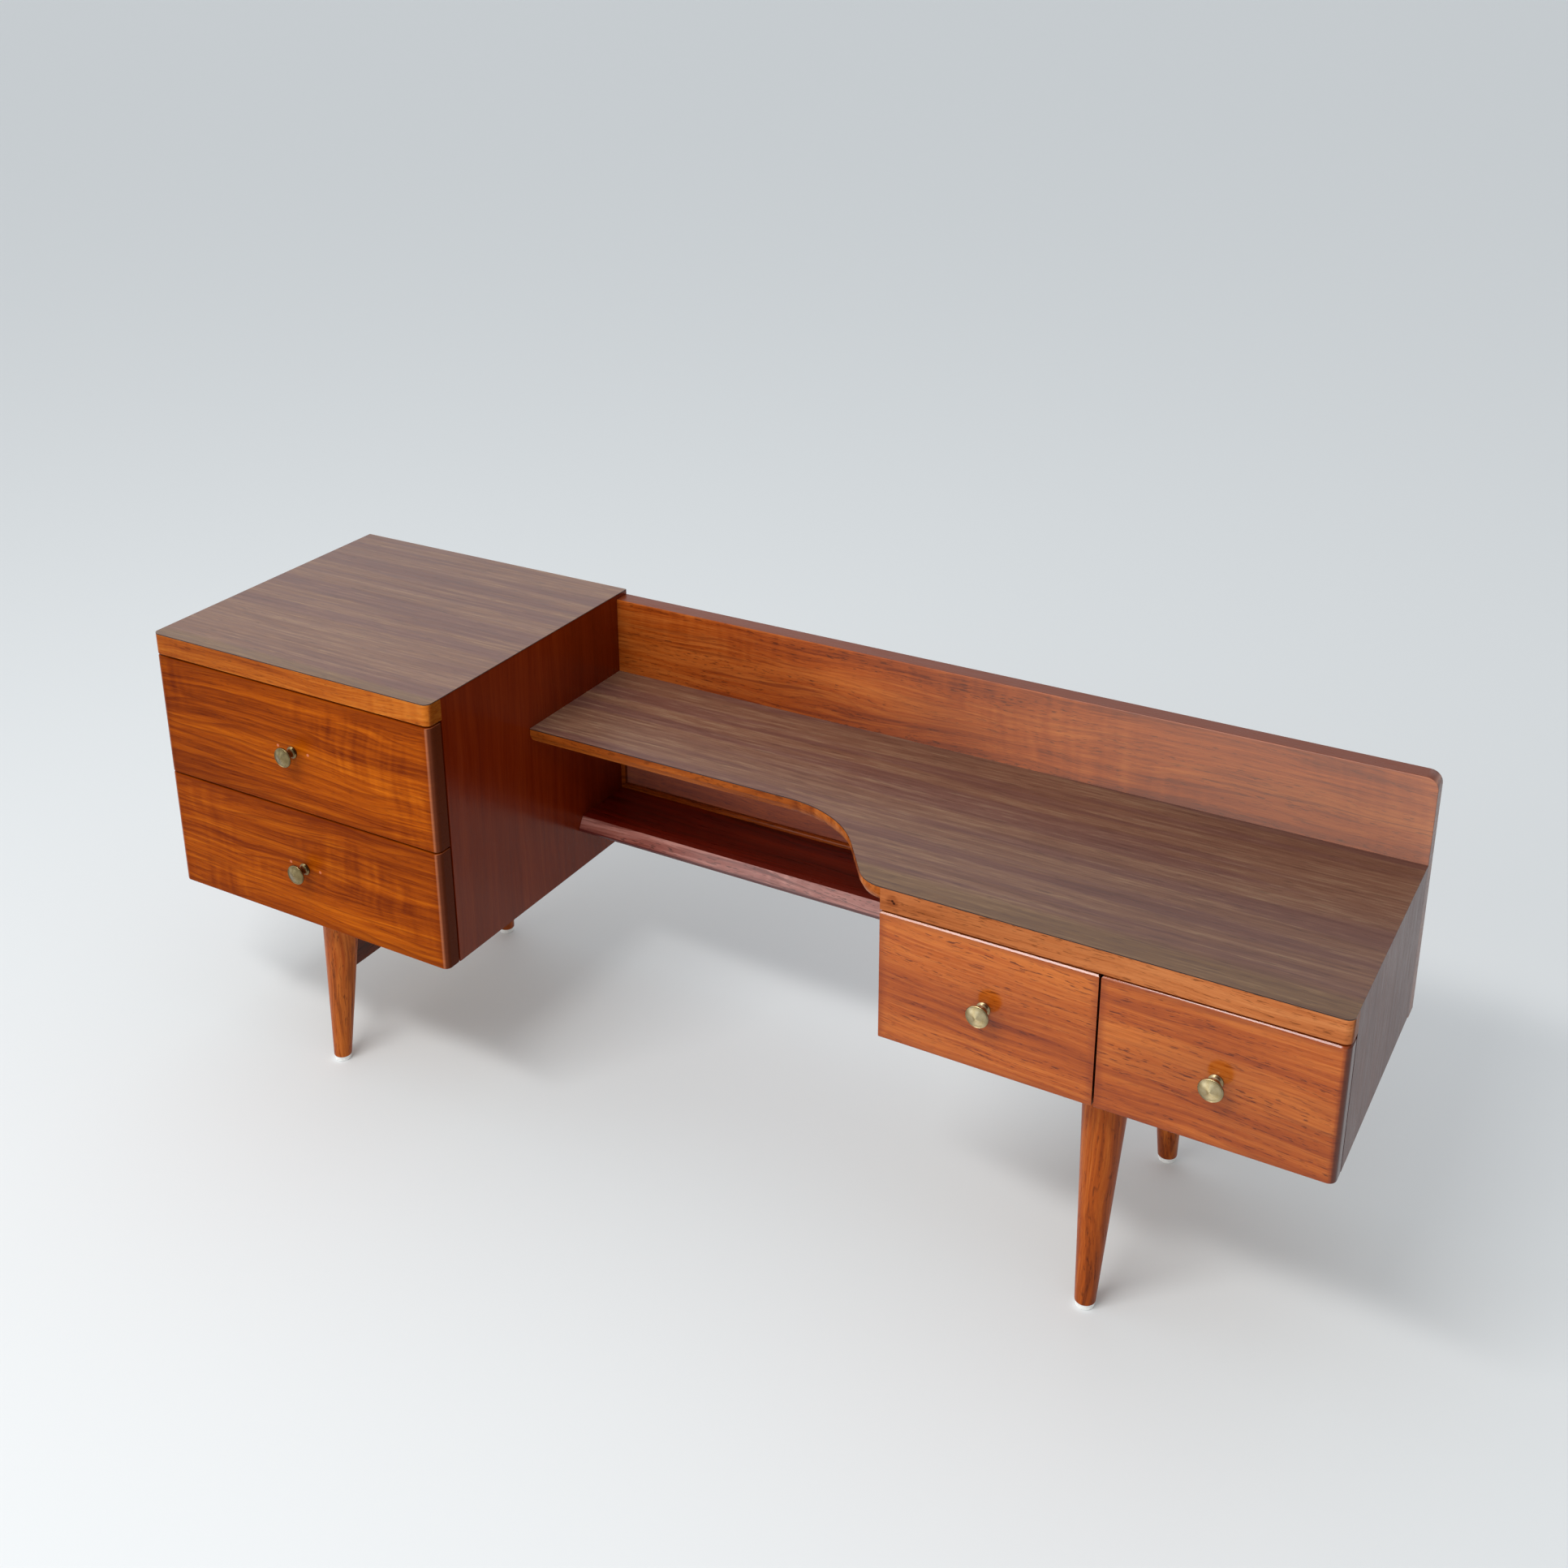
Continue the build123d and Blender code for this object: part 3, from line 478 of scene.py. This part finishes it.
def dark_below(level, tone):
    """Darker colour on the lowest strip of a piece."""
    def mark(graph, colour):
        place = graph.add("SeparateXYZ", None, {0: graph.place}).outputs
        return graph.mix(graph.fit(place["Z"], level - 0.0004, level, 1.0, 0.0), colour, tone)
    return mark


def dark_top(tone, strength):
    """Upward faces hold more stain."""
    def mark(graph, colour):
        return graph.mix(graph.facing(Z_AXIS, 0.6, 0.9, strength), colour, tone)
    return mark


# Painted shade: the pedestal's front darkens towards its left end.
SHADED_LEFT = fade(-0.45, -0.74, (0.78, 0.74, 0.7), "MULTIPLY")


# ---- dressing the nodes ------------------------------------------------------------------------
def put(node, material):
    """Give a CAD node one material all over."""
    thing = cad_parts[node]
    thing.data.materials.clear()
    thing.data.materials.append(material)
    for polygon in thing.data.polygons:
        polygon.material_index = 0


def put_wood(node, species, grain, seed, marks=()):
    """Give a CAD node its own wood, whose grain runs along an axis."""
    low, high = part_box(node)
    across = [axis for axis in (X_AXIS, Y_AXIS, Z_AXIS) if axis != grain]
    thin = min(across, key=lambda axis: high[axis] - low[axis])
    if node.endswith("_leg"):
        thin = None    # turned legs are as thick one way as the other
    put(node, wood(node, species, grain, thin, seed, marks))


def soften(node):
    """Take the sharpness off a node's edges."""
    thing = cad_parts[node]
    weld = thing.modifiers.new("weld", "WELD")
    weld.merge_threshold = WELD_REACH
    bevel = thing.modifiers.new("bevel", "BEVEL")
    bevel.width = EDGE_BREAK
    bevel.segments = 2
    bevel.limit_method = "ANGLE"
    bevel.angle_limit = math.radians(40)
    bevel.harden_normals = True


def dress_carcass():
    """Materials of everything that stands still. A wood's place in the list is its seed."""
    rail_low, rail_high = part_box("drawer_unit_front_rail")
    rail_knot = knot((rail_low.x + 0.015, rail_low.y, rail_high.z - 0.013), 0.0038)
    lip_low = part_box("shelf_front_lip")[0]
    desk_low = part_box("desk_top_board")[0]
    leg_low, leg_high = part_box("drawer_unit_front_leg")
    leg_knot = knot(((leg_low.x + leg_high.x) / 2 + 0.008, leg_low.y + 0.022, leg_high.z - 0.016),
                    0.003)
    woods = [
        ("pedestal_front_rail", TEAK_RAIL, X_AXIS, [SHADED_LEFT]),
        ("drawer_unit_front_rail", TEAK_RAIL_RED, X_AXIS, [rail_knot]),
        ("desk_edge_lipping", TEAK_LIPPING, X_AXIS, []),
        ("backboard", TEAK_BACKBOARD, X_AXIS,
         [fade(-0.1, 0.6, srgb(108, 96, 88), "SCREEN"),
          # painted light on the backboard below the desk, lifting its shade
          painted_light_below(desk_low.z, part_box("backboard")[0].y, srgb(116, 74, 70)),
          dark_top(srgb(108, 45, 16), 0.95)]),
        ("shelf_back_beads", TEAK_BACKBOARD, X_AXIS, []),
        ("shelf_panel", SHELF_WOOD, X_AXIS, []),
        ("shelf_front_lip", LIP_WOOD, X_AXIS,
         [dark_below(lip_low.z + LIP_NOSE, srgb(84, 26, 22)), dark_top(srgb(96, 16, 4), 1.0)]),
        ("pedestal_left_side", OUTER_VENEER, Z_AXIS, []),
        ("pedestal_right_side", SHADED_SIDE_VENEER, Z_AXIS, []),
        ("drawer_unit_inner_side", SHADED_SIDE_VENEER, Z_AXIS, []),
        ("drawer_unit_end_panel", END_VENEER_SHADE_AND_SHEEN, Z_AXIS, []),
        ("drawer_unit_divider", INSIDE_WOOD, Y_AXIS, []),
        ("drawer_unit_bottom", INSIDE_WOOD, X_AXIS, []),
        ("pedestal_bottom", INSIDE_WOOD, X_AXIS, []),
        ("pedestal_top_board", INSIDE_WOOD, X_AXIS, []),
        ("desk_top_board", INSIDE_WOOD, X_AXIS, []),
        ("pedestal_back", PLY_WOOD, Z_AXIS, []),
        ("pedestal_leg_rail", SHADED_LEG_RAIL_WOOD, Y_AXIS, []),
        ("drawer_unit_leg_rail", SHADED_LEG_RAIL_WOOD, Y_AXIS, []),
        ("pedestal_front_leg", LEG_WOOD, Z_AXIS, []),
        ("pedestal_back_leg", LEG_WOOD, Z_AXIS, []),
        ("drawer_unit_front_leg", LEG_WOOD, Z_AXIS, [leg_knot]),
        ("drawer_unit_back_leg", LEG_WOOD, Z_AXIS, []),
        ("leg_dowels", RUNNER_WOOD, Z_AXIS, []),
    ]
    for seed, (node, species, grain, marks) in enumerate(woods, start=1):
        put_wood(node, species, grain, seed, marks)
    for seed, drawer in enumerate(DRAWERS, start=30):
        put_wood(drawer + "_runners", RUNNER_WOOD, Y_AXIS, seed)
    for node, seed, strip, marks in (
        ("pedestal_top_laminate", 3, 0.025, []),
        ("desk_top_laminate", 8, 0.045, [fade(-0.3, 0.6, (0.78, 0.76, 0.76), "MULTIPLY")]),
    ):
        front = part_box(node)[0].y
        put(node, laminate(node, seed, front, strip, marks))
    put("wood_screws", plated_steel("wood_screws"))
    put("leg_glides", nylon("leg_glides"))


def dress_drawers():
    """Materials of the four drawers, their knobs and their screws."""
    steel = plated_steel("knob_screws")
    for seed, drawer in enumerate(DRAWERS, start=40):
        species = TEAK_FRONT if drawer in PEDESTAL_DRAWERS else TEAK_FRONT_RED
        put_wood(drawer + "_front", species, X_AXIS, seed, front_marks(drawer, species))
        for part, kind, grain, shift in (
            ("left_side", BOX_WOOD, Y_AXIS, 90),
            ("right_side", BOX_WOOD, Y_AXIS, 100),
            ("back", BOX_WOOD, X_AXIS, 40),
            ("bottom", PLY_WOOD, X_AXIS, 60),
        ):
            put_wood(f"{drawer}_{part}", kind, grain, seed + shift)
        low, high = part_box(drawer + "_knob")
        # pedestal knobs take the painted shaded brass, the unit's knobs the painted lit brass
        brightly_lit = 0.0 if drawer in PEDESTAL_DRAWERS else 1.0
        put(drawer + "_knob", brass(drawer + "_knob", low, high, brightly_lit))
        put(drawer + "_knob_screw", steel)


# ---- studio --------------------------------------------------------------------------------------
CAMERA_PLACE = (1.0282, -1.7014, 1.5284)
CAMERA_YAW = 30.977
CAMERA_PITCH = -20.711
CAMERA_ROLL = -0.863
CAMERA_LENS = 42.54
CAMERA_SHIFT = (0.0288, -0.1486)
FLOOR_HALF = 60.0
LAMP_COLOUR = (1.0, 0.99, 0.97)


def make_camera():
    """Camera to the right and above, turned to the left and down."""
    data = bpy.data.cameras.new("camera")
    data.sensor_width = 36
    data.lens = CAMERA_LENS
    data.shift_x, data.shift_y = CAMERA_SHIFT
    data.clip_end = 200
    camera = bpy.data.objects.new("camera", data)
    aim = Euler((math.radians(90 + CAMERA_PITCH), 0, math.radians(CAMERA_YAW))).to_matrix()
    roll = Matrix.Rotation(math.radians(CAMERA_ROLL), 3, "Z")
    camera.matrix_world = Matrix.Translation(CAMERA_PLACE) @ (aim @ roll).to_4x4()
    bpy.context.scene.collection.objects.link(camera)
    bpy.context.scene.camera = camera


def soft_box(name, place, target, width, height, power):
    """Rectangular light at a place, aimed at a target."""
    data = bpy.data.lights.new(name, "AREA")
    data.shape = "RECTANGLE"
    data.size = width
    data.size_y = height
    data.energy = power
    data.color = LAMP_COLOUR
    light = bpy.data.objects.new(name, data)
    light.location = place
    light.rotation_euler = (Vector(target) - Vector(place)).to_track_quat("-Z", "Y").to_euler()
    bpy.context.scene.collection.objects.link(light)


def make_floor():
    """Plain pale floor, wide enough to reach the horizon."""
    corners = [(-FLOOR_HALF, -FLOOR_HALF, 0), (FLOOR_HALF, -FLOOR_HALF, 0),
               (FLOOR_HALF, FLOOR_HALF, 0), (-FLOOR_HALF, FLOOR_HALF, 0)]
    mesh = bpy.data.meshes.new("floor")
    mesh.from_pydata(corners, [], [(0, 1, 2, 3)])
    floor = bpy.data.objects.new("floor", mesh)
    bpy.context.scene.collection.objects.link(floor)
    graph = Graph("floor", roughness=0.7, specular=0.2)
    mesh.materials.append(graph.finish((*srgb(227, 229, 230), 1)))


def make_world():
    """Pale surroundings, dimmer on the right, as beside a wide window on the left."""
    world = bpy.data.worlds.new("world")
    world.use_nodes = True
    nodes = world.node_tree.nodes
    links = world.node_tree.links
    direction = nodes.new("ShaderNodeTexCoord").outputs["Generated"]
    split = nodes.new("ShaderNodeSeparateXYZ")
    links.new(direction, split.inputs[0])
    side_fade = nodes.new("ShaderNodeMapRange")
    for key, value in (("From Min", -0.6), ("From Max", 1.0), ("To Min", 1.02), ("To Max", 0.36)):
        side_fade.inputs[key].default_value = value
    links.new(split.outputs["X"], side_fade.inputs["Value"])
    background = nodes["Background"]
    background.inputs["Color"].default_value = (0.93, 0.97, 1.0, 1)
    links.new(side_fade.outputs["Result"], background.inputs["Strength"])
    bpy.context.scene.world = world


def make_studio():
    """Floor, world and two lights: the strip glints in the drawers' top bevels."""
    make_floor()
    make_world()
    soft_box("high_strip", (-0.35, -1.92, 3.05), (0.2, 0, 0.4), width=1.9, height=0.32, power=50)
    soft_box("front_panel", (-3.0, -6.0, 3.2), (0, 0, 0.4), width=4.5, height=2.4, power=90)
    bpy.context.scene.view_settings.view_transform = "Standard"


dress_carcass()
dress_drawers()
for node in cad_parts:
    if not node.endswith(NO_BEVEL):
        soften(node)
make_camera()
make_studio()
